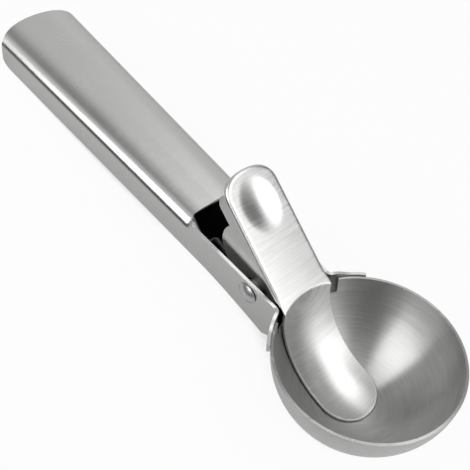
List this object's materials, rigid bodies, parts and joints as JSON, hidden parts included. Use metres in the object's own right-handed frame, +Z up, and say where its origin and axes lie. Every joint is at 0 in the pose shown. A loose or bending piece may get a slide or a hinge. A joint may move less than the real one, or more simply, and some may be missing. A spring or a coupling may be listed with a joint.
{
  "type": "lever ice cream scoop",
  "caption": "Stainless steel ice cream scoop: a half-round bowl on a channel handle, with a sprung thumb lever whose dished tongue sweeps the ball out.",
  "frame": {"origin": "on the table, below the middle of the bounding box, with the scoop resting on the bowl and the handle's two rear corners", "axes": "+X from the handle's rear end to the bowl, +Z up, Y across and parallel to the lever's pivot"},
  "size_m": [0.198, 0.056, 0.0447],
  "materials": {
    "handle_steel": "satin",
    "bowl_steel": "satin",
    "lever_steel": "fine brushed",
    "bracket_steel": "satin",
    "rivet_steel": "satin",
    "sleeve_steel": "turned",
    "spring_wire": "drawn wire"
  },
  "bodies": {
    "handle_body": {"handle": "handle_steel", "bowl": "bowl_steel", "pivot_rivet": "rivet_steel", "pivot_sleeve": "sleeve_steel", "side_spacers": "sleeve_steel", "return_spring": "spring_wire"},
    "lever_body": {"lever": "lever_steel", "lever_bracket": "bracket_steel"}
  },
  "joints": [
    {"name": "lever_pivot", "type": "hinge", "parent": "handle_body", "child": "lever_body", "pos_m": [0.03375, 0, 0.01852], "axis": [0, -1, 0], "range_deg": [0, 32], "stiffness_Nm_per_rad": 0.35, "springref_deg": -22.92, "deforming": ["return_spring"]}
  ]
}
